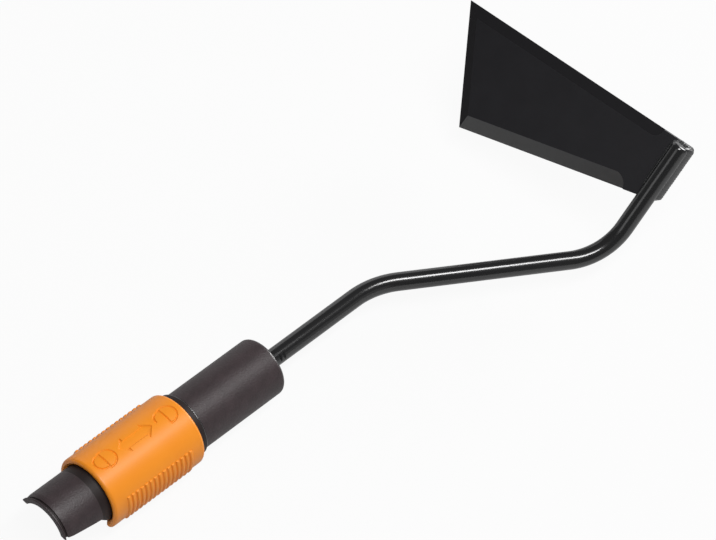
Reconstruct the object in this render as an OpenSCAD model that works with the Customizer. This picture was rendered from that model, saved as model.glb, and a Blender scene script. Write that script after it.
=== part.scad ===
// Interchangeable three-edge hoe head with a quick coupling.
// X runs along the coupling from the tongue's tip to the blade, Y is left, Z is up.
// The origin is on the coupling's axis, at the tip of the tongue.

/* [Tongue] */
// Length of the half-round tongue, from its tip to the seat face
tongue_len = 24; // [20:0.5:30]
// Inner radius of the tongue, which holds the handle's end
socket_r = 14; // [12.5:0.1:15.5]
// Wall of the tongue
tongue_wall = 3; // [2.5:0.1:3.5]
// Height of the tongue's side edges above the axis, at the tip
edge_tip_z = 6.8; // [4:0.1:7.5]
// Height of the tongue's side edges above the axis, at the seat
edge_seat_z = 2.7; // [0.2:0.1:3.5]
// Width of the raised lip at the tip
lip_w = 1.8; // [1:0.1:3]
// Height of the lip over the tongue
lip_h = 0.4; // [0.2:0.1:0.8]
// Width of the groove behind the lip
lip_groove_w = 1.4; // [0.8:0.1:2]
// Depth of the groove behind the lip
lip_groove_h = 0.6; // [0.3:0.1:1]

/* [Core] */
// Slant of the seat face below the tongue's edges, and of the sleeve's mouth
seat_slant = 45; // [35:1:50]
// Length of the core from the seat to the barrel
core_len = 73.4; // [72:0.1:80]
// Width of the flange that stops the sleeve
flange_w = 4.4; // [3:0.1:6]
// Height of the flange over the core
flange_h = 0.9; // [0.6:0.1:2]
// Chamfer on the flange's back rim
flange_chamfer = 0.9; // [0.3:0.1:1.5]
// Length of the spigot that the barrel is pushed on
spigot_len = 36; // [25:1:45]
// Radius of the spigot
spigot_r = 11; // [9:0.1:12.5]
// Clearance of a pushed-in fit
fit_gap = 0.05; // [0.02:0.01:0.1]

/* [Barrel] */
// Length of the barrel
barrel_len = 56.8; // [50:0.1:70]
// Diameter of the barrel
barrel_d = 33.2; // [31:0.1:35]
// Rounding of the barrel's end
barrel_round = 2.4; // [1:0.1:4]

/* [Locking sleeve] */
// Length of the sleeve
sleeve_len = 62.4; // [60:0.1:65]
// Wall of the sleeve
sleeve_wall = 3.3; // [3:0.1:4.5]
// Clearance between the core and the sleeve, and between the flange and the sleeve at rest
slide_gap = 0.3; // [0.2:0.05:0.5]
// Depth below the axis at which the sleeve's mouth starts to slant back
mouth_drop = 10; // [8:0.5:14]
// How far the sleeve slides forward to lock
sleeve_travel = 27; // [20:0.5:28]
// Rounding of the sleeve's outer rims
rim_round = 1.8; // [0.8:0.1:2]
// Chamfer of the sleeve's bore at both ends
bore_chamfer = 1.1; // [0.3:0.1:1.2]

/* [Grip ribs] */
// Ribs on each side of the sleeve
rib_count = 15; // [5:1:16]
// Spacing of the ribs
rib_pitch = 3.05; // [2.5:0.05:3.2]
// Width of a rib
rib_w = 1.7; // [1:0.1:2]
// Height of a rib
rib_h = 0.5; // [0.3:0.1:1]
// Angle that each row of ribs spans round the sleeve
rib_span = 45; // [30:1:80]

/* [Key and detent] */
// Length of the key under the core
key_len = 6; // [4:0.5:8]
// Width of the key
key_w = 5; // [3:0.5:7]
// Height of the key over the core
key_h = 1.1; // [0.8:0.1:1.3]
// Distance of the key from the sleeve's front rim at rest
key_inset = 17; // [16:0.5:18]
// Clearance at the sides and ends of the key
key_gap = 0.3; // [0.2:0.05:0.5]
// Distance from the key to the detent ring
detent_offset = 5; // [3:0.5:7]
// Width of the detent ring
detent_w = 1.6; // [1.2:0.1:2]
// Radial thickness of the detent ring
detent_t = 1.5; // [1.2:0.1:1.8]
// How far the ring stands into the sleeve's groove
detent_lift = 0.45; // [0.3:0.05:0.6]
// Room under the ring for it to spring into, and round it in the sleeve's grooves
detent_room = 0.6; // [0.5:0.05:0.8]
// Angle of the ring's split
detent_split = 24; // [15:1:40]

/* [Neck rod] */
// Diameter of the rod
rod_d = 10; // [8:0.5:12]
// Length of rod held inside the coupling's core
rod_hold = 40; // [30:1:50]
// Length of the two flats on the rod's inner end
rod_flat_len = 18; // [10:1:25]
// Depth of each flat
rod_flat_h = 1; // [0.5:0.1:1.5]
// Straight neck from the barrel's end to the first corner
neck_len = 80.7; // [60:0.1:120]
// Angle that the first bend turns to the right
neck_turn = 31.2; // [20:0.1:45]
// Bend radius at the first bend
bend_1_r = 50; // [30:1:70]
// Length between the two corners
crank_len = 128.5; // [100:0.1:160]
// Angle of the blade above the coupling's axis
blade_pitch = 52; // [40:0.1:65]
// Bend radius at the second bend
bend_2_r = 35; // [25:1:40]
// How far the bar swells where it is bent
bend_swell = 0.03; // [0.02:0.01:0.1]
// Length from the second corner to the rod's cut end
foot_len = 74; // [66:0.1:90]
// Rounding of the rod's cut end
rod_end_round = 2; // [0.5:0.1:3]

/* [Blade] */
// Thickness of the plate
blade_t = 2.5; // [2:0.1:4]
// Thickness left along the ground edges
edge_t = 0.5; // [0.3:0.1:1]
// Length of the heel, along the rod
heel_len = 35.1; // [26:0.1:40]
// How far the blade reaches past the rod's cut end
heel_reach = 1.3; // [0.5:0.1:4]
// Reach of the front corner from the rod's axis
front_span = 149.3; // [120:0.1:170]
// How far the front corner lies behind the heel's front
front_sweep = 15.8; // [5:0.1:20]
// Reach of the back corner from the rod's axis
back_span = 113.4; // [90:0.1:118]
// How far the back corner lies behind the heel's back
back_sweep = 40; // [30:0.1:50]
// Rounding of the heel's back corner
heel_round = 4; // [2:0.1:5]
// Rounding of the heel's front corner
heel_front_round = 2; // [1:0.1:4]
// Width of the ground band on the front edge
grind_front = 6; // [3:0.1:8]
// Width of the ground band on the end edge
grind_end = 5.6; // [3:0.1:8]
// Width of the ground band on the back edge
grind_back = 8; // [4:0.1:10]
// Distance from the rod's axis at which the ground bands stop
grind_clear = 15; // [12:0.1:20]

/* [Welds] */
// Radius of the bead on the blade's side of the rod
inner_bead_r = 3; // [2:0.1:3.5]
// Radius of the bead on the heel's side of the rod
outer_bead_r = 2.2; // [1.5:0.1:2.4]
// Radius of the bead across the rod's cut end
end_bead_r = 2.2; // [1.6:0.1:2.6]
// Bare heel behind the round ends of the side beads' middle line
bead_inset = 5; // [4.2:0.1:8]

/* [Hidden] */
$fn = 64;

// Overrun of every cut past the face that it opens
cut = 1;
// Steps in each rounded corner of the blade's outline
arc_steps = 10;
// Places of the beads beside the rod's axis and across its end, as shares of the rod's radius
inner_bead_share = 0.85;
outer_bead_share = 0.7;
end_bead_share = 0.5;

// Places along the coupling
core_end = tongue_len + core_len;
barrel_end = core_end + barrel_len;
flange_start = core_end - flange_w;
sleeve_end = flange_start - slide_gap;
sleeve_start = sleeve_end - sleeve_len;
key_start = sleeve_start + key_inset;
key_end = key_start + key_len;
detent_x = key_end + detent_offset;
rod_start = core_end - rod_hold;

// Radii of the coupling, each from the one inside it
body_r = socket_r + tongue_wall;
flange_r = body_r + flange_h;
barrel_r = barrel_d / 2;
sleeve_bore_r = body_r + slide_gap;
sleeve_r = sleeve_bore_r + sleeve_wall;
key_r = body_r + key_h;
detent_r = sleeve_bore_r + detent_lift;
detent_groove_r = detent_r - detent_t - detent_room;
sleeve_groove_r = sleeve_bore_r + detent_room;

// Ribs: the row is centred on the sleeve
rib_row_len = (rib_count - 1) * rib_pitch;
rib_first = (sleeve_start + sleeve_end - rib_row_len) / 2;

// Corners and bends of the rod
rod_r = rod_d / 2;
corner_1 = [barrel_end + neck_len, 0, 0];
crank_dir = [cos(neck_turn), -sin(neck_turn), 0];
crank_left = [sin(neck_turn), cos(neck_turn), 0];
foot_dir = [cos(blade_pitch), 0, sin(blade_pitch)];
foot_bend = acos(crank_dir * foot_dir);
foot_twist = atan2(foot_dir.z, crank_left * foot_dir);
foot_roll = atan2(
    -sin(foot_twist) * cos(neck_turn),
    sin(foot_bend) * sin(neck_turn) + cos(foot_bend) * cos(foot_twist) * cos(neck_turn)
);
tangent_1 = bend_1_r * tan(neck_turn / 2);
tangent_2 = bend_2_r * tan(foot_bend / 2);
// How far each straight stretch runs on inside the swollen bend
bend_lap = sqrt(min(bend_1_r, bend_2_r) * bend_swell / 2);

// Corners of the blade, ahead of the second corner and left of the rod
blade_top = -rod_r - fit_gap;
heel_front = foot_len + heel_reach;
heel_back = heel_front - heel_len;
heel_side = -rod_r;
front_corner = [heel_front - front_sweep, front_span];
back_corner = [heel_back - back_sweep, back_span];
heel_front_corner = [heel_front, heel_side];
heel_back_corner = [heel_back, heel_side];

// Place of the bead across the rod's cut end
end_bead_x = foot_len - rod_end_round * end_bead_share;

// Direction of the line from point a to point b
function heading(a, b) = atan2(b.y - a.y, b.x - a.x);
// Point on the line from a to b whose second coordinate is y
function at_y(a, b, y) = a + (b - a) * (y - a.y) / (b.y - a.y);
// Point at the distance d from a, towards b
function towards(a, b, d) = a + (b - a) * d / norm(b - a);
// Points of the arc of radius r that rounds corner b of the outline a, b, c
function corner_arc(a, b, c, r) =
    let (half = (180 - abs(heading(a, b) - heading(b, c))) / 2)
    let (middle = b + (towards(b, a, r) - b + towards(b, c, r) - b) / (2 * cos(half) * sin(half)))
    let (from = heading(b, a) + 90)
    [for (i = [0 : arc_steps]) middle + r * [cos(from + arc_turn(half, i)), sin(from + arc_turn(half, i))]];
// Share of the arc's turn at step i
function arc_turn(half, i) = (180 - 2 * half) * i / arc_steps;

// Round bar along X from the origin
module bar_x(h, r) {
    rotate([0, 90, 0]) cylinder(h = h, r = r);
}

// Profile of [radius, place along X], turned about X; a part turn is centred on the side at angle
// about, counted from straight down towards the left
module turned_x(span = 360, about = 180) {
    rotate([0, 90, 0]) rotate([0, 0, about - span / 2]) rotate_extrude(angle = span) children();
}

// Rectangle of a turned profile, between two radii and two places along X
module band(r0, r1, x0, x1) {
    translate([r0, x0]) square([r1 - r0, x1 - x0]);
}

// Frame of the crank: X along it from the first corner
module at_crank() {
    translate(corner_1) rotate([0, 0, -neck_turn]) children();
}

// Frame of the second bend: X along the crank from the second corner, Y towards the bend's centre
module at_foot_bend() {
    at_crank() translate([crank_len, 0, 0]) rotate([foot_twist, 0, 0]) children();
}

// Frame of the blade: X along the rod's foot from the second corner, Y left, Z out of the blade
module at_foot() {
    at_foot_bend() rotate([0, 0, foot_bend]) rotate([foot_roll, 0, 0]) children();
}

// Lipped shell of the tongue, before its lower half is cut away
module tongue() {
    turned_x() difference() {
        union() {
            band(socket_r, body_r, 0, tongue_len);
            band(socket_r, body_r + lip_h, 0, lip_w);
        }
        band(body_r - lip_groove_h, body_r + cut, lip_w, lip_w + lip_groove_w);
    }
}

// Space below an edge that runs from the point first to the point last, seen from the side as
// [place along X, height], and then slants down and back
module below_edge(first, last) {
    depth = last.y + sleeve_r + cut;
    rotate([90, 0, 0]) linear_extrude(height = 2 * (sleeve_r + cut), center = true) polygon([
        first,
        last,
        [last.x + depth * tan(seat_slant), last.y - depth],
        [first.x, last.y - depth]
    ]);
}

// Round core with its detent groove, the flange that stops the sleeve, and the spigot behind it
module guide() {
    turned_x() polygon([
        [0, tongue_len],
        [body_r, tongue_len],
        [body_r, detent_x],
        [detent_groove_r, detent_x],
        [detent_groove_r, detent_x + detent_w],
        [body_r, detent_x + detent_w],
        [body_r, flange_start],
        [flange_r, flange_start],
        [flange_r, core_end - flange_chamfer],
        [flange_r - flange_chamfer, core_end],
        [spigot_r, core_end],
        [spigot_r, core_end + spigot_len],
        [0, core_end + spigot_len]
    ]);
}

// Stretch of ring on the underside, as wide as w: the key, or the keyway that it runs in
module key_block(x0, x1, r0, r1, w) {
    intersection() {
        turned_x() band(r0, r1, x0, x1);
        translate([x0, -w / 2, -r1 - cut]) cube([x1 - x0, w, r1 + cut]);
    }
}

// Inner end of the rod with its two flats, or with a clearance the hole that takes it
module flatted_bar(h, gap) {
    half_flat = rod_r - rod_flat_h + gap;
    translate([rod_start, 0, 0]) {
        intersection() {
            bar_x(h, rod_r + gap);
            translate([0, -half_flat, -rod_d]) cube([rod_flat_len, 2 * half_flat, 2 * rod_d]);
        }
        translate([rod_flat_len, 0, 0]) bar_x(h - rod_flat_len, rod_r + gap);
    }
}

// Bend of the rod about Z, from X round to angle
module bend(angle, r) {
    rotate_extrude(angle = angle) translate([r, 0]) circle(rod_r + bend_swell);
}

// Last straight stretch of the rod, with its rounded cut end, in the blade's frame
module foot_bar() {
    turned_x() {
        band(0, rod_r, tangent_2 - bend_lap, foot_len - rod_end_round);
        band(0, rod_r - rod_end_round, tangent_2 - bend_lap, foot_len);
        translate([rod_r - rod_end_round, foot_len - rod_end_round]) intersection() {
            circle(rod_end_round);
            square(rod_end_round);
        }
    }
}

// Wedge that grinds the blade from p to q; the band is w wide, and stop says which end runs out round
module grind(p, q, w, stop = "none") {
    rise = (blade_t - edge_t) / w;
    length = norm(q - p);
    over = w + cut;
    start = stop == "start" ? w : -over;
    end = stop == "end" ? length - w : length + over;
    translate([p.x, p.y, 0]) rotate([0, 0, heading(p, q)]) intersection() {
        translate([-over, 0, 0]) rotate([90, 0, 90]) linear_extrude(height = length + 2 * over) polygon([
            [-cut, edge_t - rise * cut],
            [w + cut / rise, blade_t + cut],
            [-cut, blade_t + cut]
        ]);
        union() {
            translate([start, -over, -cut]) cube([end - start, 2 * over + cut / rise, blade_t + 3 * cut]);
            if (stop != "none")
                translate([stop == "start" ? start : end, 0, -cut]) cylinder(h = blade_t + 3 * cut, r = w);
        }
    }
}

// Round-ended bead along X, cut to the blade's face and the rod's side
module bead_along(y, r) {
    difference() {
        translate([heel_back + bead_inset, y, blade_top]) {
            bead_len = end_bead_x - end_bead_r - r - fit_gap - heel_back - bead_inset;
            bar_x(bead_len, r);
            sphere(r);
            translate([bead_len, 0, 0]) sphere(r);
        }
        foot_bar();
        under_blade_face();
    }
}

// Space below the blade's upper face
module under_blade_face() {
    translate([0, -2 * rod_d, blade_top - rod_d]) cube([foot_len + rod_d, 4 * rod_d, rod_d]);
}

// Four-sided plate, ground on three edges, with rounded heel corners
module blade() {
    color("#2a292d") at_foot() translate([0, 0, blade_top - blade_t]) difference() {
        linear_extrude(height = blade_t) polygon(concat(
            [front_corner, back_corner],
            corner_arc(back_corner, heel_back_corner, heel_front_corner, heel_round),
            corner_arc(heel_back_corner, heel_front_corner, front_corner, heel_front_round)
        ));
        grind(at_y(heel_front_corner, front_corner, grind_clear), front_corner, grind_front, "start");
        grind(front_corner, back_corner, grind_end);
        grind(back_corner, at_y(back_corner, heel_back_corner, grind_clear), grind_back, "end");
    }
}

// Bar with flats inside the core, a sideways bend, the crank, a bend up to the blade, and the foot
module neck_rod() {
    color("#161616") {
        flatted_bar(corner_1.x - tangent_1 + bend_lap - rod_start, 0);
        translate([corner_1.x - tangent_1, -bend_1_r, 0]) rotate([0, 0, 90 - neck_turn])
            bend(neck_turn, bend_1_r);
        at_crank() translate([tangent_1 - bend_lap, 0, 0])
            bar_x(crank_len - tangent_1 - tangent_2 + 2 * bend_lap, rod_r);
        at_foot_bend() translate([-tangent_2, bend_2_r, 0]) rotate([0, 0, -90]) bend(foot_bend, bend_2_r);
        at_foot() foot_bar();
    }
}

// Bead on the blade's side of the rod
module inner_weld() {
    color("#3a3a3c") at_foot() bead_along(rod_r * inner_bead_share, inner_bead_r);
}

// Bead on the heel's side of the rod
module outer_weld() {
    color("#3a3a3c") at_foot() bead_along(-rod_r * outer_bead_share, outer_bead_r);
}

// Bead across the rod's cut end
module end_weld() {
    half = rod_r * end_bead_share;
    color("#3a3a3c") at_foot() difference() {
        translate([end_bead_x, 0, blade_top]) {
            rotate([90, 0, 0]) cylinder(h = 2 * half, r = end_bead_r, center = true);
            for (y = [-half, half]) translate([0, y, 0]) sphere(end_bead_r);
        }
        foot_bar();
        under_blade_face();
    }
}

// Black moulding that carries the sleeve and takes the handle
module coupling_core() {
    edge_slope = (edge_tip_z - edge_seat_z) / tongue_len;
    color("#454244") difference() {
        union() {
            tongue();
            guide();
            key_block(key_start, key_end, body_r - key_h, key_r, key_w);
        }
        below_edge([-cut, edge_tip_z + edge_slope * cut], [tongue_len, edge_seat_z]);
        flatted_bar(rod_hold + spigot_len + cut, fit_gap);
    }
}

// Split spring ring in the core's groove, its rims chamfered to ride out of the sleeve's grooves
module detent_ring() {
    color("#9a9a9c") turned_x(360 - detent_split) polygon([
        [detent_r - detent_t, detent_x],
        [detent_r - detent_lift, detent_x],
        [detent_r, detent_x + detent_lift],
        [detent_r, detent_x + detent_w - detent_lift],
        [detent_r - detent_lift, detent_x + detent_w],
        [detent_r - detent_t, detent_x + detent_w]
    ]);
}

// Half section of the sleeve, with round outer rims, a chamfered bore and two detent grooves
module sleeve_section() {
    rim_r = sleeve_r - rim_round;
    difference() {
        union() {
            band(sleeve_bore_r, rim_r, sleeve_start, sleeve_end);
            band(sleeve_bore_r, sleeve_r, sleeve_start + rim_round, sleeve_end - rim_round);
            intersection() {
                band(rim_r, sleeve_r, sleeve_start, sleeve_end);
                for (x = [sleeve_start + rim_round, sleeve_end - rim_round])
                    translate([rim_r, x]) circle(rim_round);
            }
        }
        for (x = [detent_x, detent_x + sleeve_travel])
            band(sleeve_bore_r - cut, sleeve_groove_r, x - key_gap, x + detent_w + key_gap);
        for (end = [[sleeve_start, 1], [sleeve_end, -1]]) polygon([
            [sleeve_bore_r - cut, end[0] - end[1] * cut],
            [sleeve_bore_r + bore_chamfer + cut, end[0] - end[1] * cut],
            [sleeve_bore_r - cut, end[0] + end[1] * (bore_chamfer + cut)]
        ]);
    }
}

// Orange moulding that slides forward over the tongue to lock, with ribbed sides and a slanted mouth
module locking_sleeve() {
    color("#f0913c") difference() {
        union() {
            turned_x() sleeve_section();
            for (side = [90, 270], i = [0 : rib_count - 1])
                turned_x(rib_span, side) translate([0, rib_first + i * rib_pitch])
                    band(sleeve_r - rib_h, sleeve_r + rib_h, -rib_w / 2, rib_w / 2);
        }
        key_block(key_start - key_gap, key_end + sleeve_travel + key_gap,
            sleeve_bore_r - cut, key_r + key_gap, key_w + 2 * key_gap);
        below_edge([sleeve_start - cut, -mouth_drop], [sleeve_start, -mouth_drop]);
    }
}

// Black moulding pushed on the spigot, with a bore for the rod and a rounded end
module barrel() {
    round_r = barrel_r - barrel_round;
    color("#454244") turned_x() difference() {
        union() {
            band(0, barrel_r, core_end, barrel_end - barrel_round);
            band(0, round_r, core_end, barrel_end);
            translate([round_r, barrel_end - barrel_round]) circle(barrel_round);
        }
        band(0, rod_r + fit_gap, core_end - cut, barrel_end + cut);
        band(0, spigot_r + fit_gap, core_end - cut, core_end + spigot_len + fit_gap);
    }
}

blade();
neck_rod();
inner_weld();
outer_weld();
end_weld();
coupling_core();
detent_ring();
locking_sleeve();
barrel();
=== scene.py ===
"""Models and dresses a push-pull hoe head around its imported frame.

Lengths are kept in millimetres, in the frame's axes: X runs along the coupling from the tongue's tip
towards the blade, Y is left and Z is up. They become metres where a point or a size goes to Blender.
"""

import logging
import math
from collections.abc import Callable, Iterable, Sequence
from dataclasses import dataclass, field
from enum import Enum
from itertools import pairwise

import bmesh
import bpy
from mathutils import Matrix, Vector


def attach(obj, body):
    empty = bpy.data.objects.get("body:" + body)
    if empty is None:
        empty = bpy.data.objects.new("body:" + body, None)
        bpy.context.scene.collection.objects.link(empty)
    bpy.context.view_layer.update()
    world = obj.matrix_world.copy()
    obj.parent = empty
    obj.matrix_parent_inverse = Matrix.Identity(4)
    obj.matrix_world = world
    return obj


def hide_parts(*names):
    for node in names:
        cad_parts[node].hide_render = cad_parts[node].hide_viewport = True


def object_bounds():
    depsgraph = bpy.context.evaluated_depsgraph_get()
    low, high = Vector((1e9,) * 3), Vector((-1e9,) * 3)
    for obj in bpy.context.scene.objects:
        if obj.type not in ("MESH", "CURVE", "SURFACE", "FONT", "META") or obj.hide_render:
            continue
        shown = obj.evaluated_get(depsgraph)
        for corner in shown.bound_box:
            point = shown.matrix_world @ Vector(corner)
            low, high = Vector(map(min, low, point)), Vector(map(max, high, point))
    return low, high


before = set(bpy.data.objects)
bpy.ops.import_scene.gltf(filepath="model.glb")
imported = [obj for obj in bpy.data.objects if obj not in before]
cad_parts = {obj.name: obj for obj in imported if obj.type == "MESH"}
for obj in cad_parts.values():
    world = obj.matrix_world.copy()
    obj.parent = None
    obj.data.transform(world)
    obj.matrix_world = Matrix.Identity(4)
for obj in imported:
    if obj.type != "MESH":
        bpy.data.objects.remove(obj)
CAD_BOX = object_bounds()

Piece = bpy.types.Object
Material = bpy.types.Material
Tree = bpy.types.NodeTree
Socket = bpy.types.NodeSocket
Point = Sequence[float]

LOG = logging.getLogger("hoe_head")
MM = 0.001
# Points closer than this are one point
WELD = 0.0005 * MM
# Steps across a broken edge
EDGE_STEPS = 2
# Faces that meet at less than this shade as one surface, in degrees
SMOOTH_TO = 35.0
# Sockets of a mix node: the two colours that go in, and the one that comes out
MIX_FROM, MIX_TO, MIX_OUT = 6, 7, 2
X_AXIS = Vector((1.0, 0.0, 0.0))
Y_AXIS = Vector((0.0, 1.0, 0.0))
Z_AXIS = Vector((0.0, 0.0, 1.0))


def mm(length: float) -> float:
    """Turn millimetres into metres."""
    return length * MM


def per_mm(size: float) -> float:
    """Texture scale whose features are size millimetres wide."""
    return 1.0 / mm(size)


def metres(point: Iterable[float]) -> Vector:
    """Turn a point in millimetres into metres."""
    return Vector(point) * MM


def linear(hex_colour: str) -> tuple[float, float, float, float]:
    """Turn an sRGB hex colour into the linear colour that shaders take.

    Args:
        hex_colour: Colour such as "#4A4648".

    Returns:
        Linear red, green and blue, and a full alpha.
    """
    parts = (int(hex_colour[i : i + 2], 16) / 255 for i in (1, 3, 5))
    red, green, blue = (c / 12.92 if c <= 0.04045 else ((c + 0.055) / 1.055) ** 2.4 for c in parts)
    return red, green, blue, 1.0


# Drawing and shaping


@dataclass(frozen=True)
class Corner:
    """Corner of a drawn line, with the radius that rounds it."""

    u: float
    v: float
    rounding: float = 0.0


def round_corner(before: Vector, at: Corner, after: Vector, steps: int) -> list[Vector]:
    """Points of the arc that rounds one corner.

    Args:
        before: Corner before this one.
        at: The corner itself.
        after: Corner after this one.
        steps: Segments in the arc.

    Returns:
        The arc's points, from the line before to the line after.
    """
    corner = Vector((at.u, at.v))
    back, ahead = (before - corner).normalized(), (after - corner).normalized()
    half = back.angle(ahead) / 2
    middle = corner + (back + ahead).normalized() * (at.rounding / math.sin(half))
    reach = at.rounding / math.tan(half)
    spokes = corner + back * reach - middle, corner + ahead * reach - middle
    turn = spokes[0].angle_signed(spokes[1])
    return [middle + Matrix.Rotation(-turn * i / steps, 2) @ spokes[0] for i in range(steps + 1)]


def rounded(corners: Sequence[Corner], steps: int, closed: bool = False) -> list[Vector]:
    """Line through corners, each rounded to its own radius.

    Args:
        corners: The corners in order.
        steps: Segments in each rounding.
        closed: Whether the last corner leads back to the first.

    Returns:
        The line's flat points; a closed line doesn't repeat its first point.
    """
    flat = [Vector((c.u, c.v)) for c in corners]
    line: list[Vector] = []
    for i, corner in enumerate(corners):
        inside = closed or 0 < i < len(corners) - 1
        if corner.rounding and inside:
            line += round_corner(flat[i - 1], corner, flat[(i + 1) % len(flat)], steps)
        else:
            line.append(flat[i])
    return line


def outline_at(height: float, corners: Sequence[Corner], steps: int) -> list[Point]:
    """Closed line through rounded corners, as points at one height."""
    return [(p.x, p.y, height) for p in rounded(corners, steps, closed=True)]


def begin() -> None:
    """Leave edit mode with nothing selected, so that the next operator acts on its own piece alone."""
    if bpy.context.mode != "OBJECT":
        bpy.ops.object.mode_set(mode="OBJECT")
    bpy.ops.object.select_all(action="DESELECT")


def focus(piece: Piece, mode: str = "OBJECT") -> None:
    """Make a piece the only selected and active one.

    Args:
        piece: The piece.
        mode: Mode that it is left in.
    """
    begin()
    piece.select_set(True)
    bpy.context.view_layer.objects.active = piece
    bpy.ops.object.mode_set(mode=mode)


def named(piece: Piece, name: str) -> Piece:
    """Give a piece and its mesh one name."""
    piece.name = piece.data.name = name
    return piece


def select_faces(piece: Piece, wanted: Callable[[bmesh.types.BMFace], bool]) -> None:
    """Select the faces of the piece in edit mode that pass a test.

    Args:
        piece: The piece in edit mode.
        wanted: The test.
    """
    bpy.ops.mesh.select_mode(type="FACE")
    bpy.ops.mesh.select_all(action="DESELECT")
    for face in bmesh.from_edit_mesh(piece.data).faces:
        if wanted(face):
            face.select_set(True)
    bmesh.update_edit_mesh(piece.data)


def mend() -> None:
    """Merge the doubles of the piece in edit mode, and turn its faces outwards."""
    bpy.ops.mesh.select_all(action="SELECT")
    bpy.ops.mesh.remove_doubles(threshold=WELD)
    bpy.ops.mesh.normals_make_consistent(inside=False)


def extrude(way: Point) -> None:
    """Extrude what is selected by a length and direction in mm."""
    bpy.ops.mesh.extrude_region_move(TRANSFORM_OT_translate={"value": metres(way)})


def draw_chain(name: str, points: Sequence[Point]) -> Piece:
    """Draw a chain of edges by extruding one vertex from point to point.

    Args:
        name: Name of the new piece.
        points: The chain's points.

    Returns:
        The piece, left in edit mode with the chain selected and its doubles merged.
    """
    places = [metres(p) for p in points]
    begin()
    bpy.ops.mesh.primitive_plane_add(size=mm(1.0))
    chain = named(bpy.context.object, name)
    bpy.ops.object.mode_set(mode="EDIT")
    bpy.ops.mesh.select_mode(type="VERT")
    bpy.ops.mesh.select_all(action="SELECT")
    bpy.ops.mesh.merge(type="CENTER")
    bpy.ops.transform.translate(value=places[0])
    for here, there in pairwise(places):
        bpy.ops.mesh.extrude_vertices_move(TRANSFORM_OT_translate={"value": there - here})
    bpy.ops.mesh.select_all(action="SELECT")
    bpy.ops.mesh.remove_doubles(threshold=WELD)
    return chain


def turned(name: str, corners: Sequence[Corner], segments: int, steps: int) -> Piece:
    """Spin a half section about the coupling's axis.

    Args:
        name: Name of the new piece.
        corners: Half section as places along X and radii; it may close on itself or end on the axis.
        segments: Steps of the full turn.
        steps: Segments in each rounded corner.

    Returns:
        The turned piece, in edit mode.
    """
    piece = draw_chain(name, [(p.x, 0.0, p.y) for p in rounded(corners, steps)])
    bpy.ops.mesh.spin(steps=segments, angle=math.tau, center=(0.0, 0.0, 0.0), axis=X_AXIS)
    mend()
    return piece


def prism(name: str, outline: Sequence[Point], sweep: Point) -> Piece:
    """Fill a closed outline and extrude it.

    Args:
        name: Name of the new piece.
        outline: The outline's points.
        sweep: Length and direction of the extrusion.

    Returns:
        The solid, in object mode.
    """
    piece = draw_chain(name, [*outline, outline[0]])
    bpy.ops.mesh.edge_face_add()
    extrude(sweep)
    mend()
    begin()
    return piece


def disc(name: str, radius: float, segments: int, middle: Vector, ahead: Vector) -> Piece:
    """Start a bar or a bead with a filled disc.

    Args:
        name: Name of the new piece.
        radius: Radius of the disc.
        segments: Number of its sides.
        middle: Its middle.
        ahead: Direction that it faces.

    Returns:
        The piece, in edit mode with the disc selected.
    """
    begin()
    bpy.ops.mesh.primitive_circle_add(
        vertices=segments,
        radius=mm(radius),
        fill_type="NGON",
        location=metres(middle),
        rotation=Z_AXIS.rotation_difference(ahead).to_euler(),
    )
    piece = named(bpy.context.object, name)
    bpy.ops.object.transform_apply(location=True, rotation=True, scale=True)
    bpy.ops.object.mode_set(mode="EDIT")
    bpy.ops.mesh.select_mode(type="FACE")
    bpy.ops.mesh.select_all(action="SELECT")
    return piece


def apply_modifier(piece: Piece, kind: str, **settings: object) -> None:
    """Add a modifier to a piece and apply it.

    Args:
        piece: The piece.
        kind: Blender's name of the modifier.
        **settings: The modifier's own settings.
    """
    focus(piece)
    modifier = piece.modifiers.new(kind.title(), kind)
    for key, value in settings.items():
        setattr(modifier, key, value)
    bpy.ops.object.modifier_apply(modifier=modifier.name)


def carve(piece: Piece, cutter: Piece, operation: str = "DIFFERENCE") -> None:
    """Cut one piece by another, which is used up."""
    apply_modifier(piece, "BOOLEAN", operation=operation, object=cutter, solver="EXACT")
    bpy.data.objects.remove(cutter, do_unlink=True)


def ease_edges(piece: Piece, width: float, angle: float) -> None:
    """Break the sharp edges of a piece.

    Args:
        piece: The piece.
        width: Width of the broken edge.
        angle: Smallest angle between faces that counts as an edge, in degrees.
    """
    limit = {"limit_method": "ANGLE", "angle_limit": math.radians(angle)}
    apply_modifier(piece, "BEVEL", width=mm(width), segments=EDGE_STEPS, **limit)
    focus(piece, "EDIT")
    mend()
    bpy.ops.mesh.dissolve_degenerate(threshold=WELD)
    begin()


def smooth(piece: Piece, angle: float = SMOOTH_TO) -> None:
    """Shade a piece smooth, with its large faces kept flat.

    Args:
        piece: The piece.
        angle: Angle that faces shade as one surface up to, in degrees.
    """
    focus(piece)
    bpy.ops.object.shade_smooth_by_angle(angle=math.radians(angle))
    apply_modifier(piece, "WEIGHTED_NORMAL", keep_sharp=True)


def place(piece: Piece, where: Matrix) -> None:
    """Put a piece in its place and leave that place in its mesh.

    Args:
        piece: The piece.
        where: Its place, in metres.
    """
    focus(piece)
    piece.matrix_world = where
    bpy.ops.object.transform_apply(location=True, rotation=True, scale=True)


class Body(Enum):
    """Bodies of the frame that pieces move with."""

    HEAD = "head"
    SLEEVE = "sleeve"


def fit_piece(piece: Piece, body: Body, node: str, finishes: Sequence[Material]) -> None:
    """Dress a finished piece and hand it to the frame.

    Args:
        piece: The piece.
        body: Body that it moves with.
        node: CAD node that it stands for.
        finishes: Its materials, in the order of its material indices.
    """
    for i, finish in enumerate(finishes):
        if i < len(piece.data.materials):
            piece.data.materials[i] = finish
        else:
            piece.data.materials.append(finish)
    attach(piece, body.value)
    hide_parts(node)
    LOG.info("%s: %d faces on %s", piece.name, len(piece.data.polygons), body.value)


# Finishes


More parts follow.
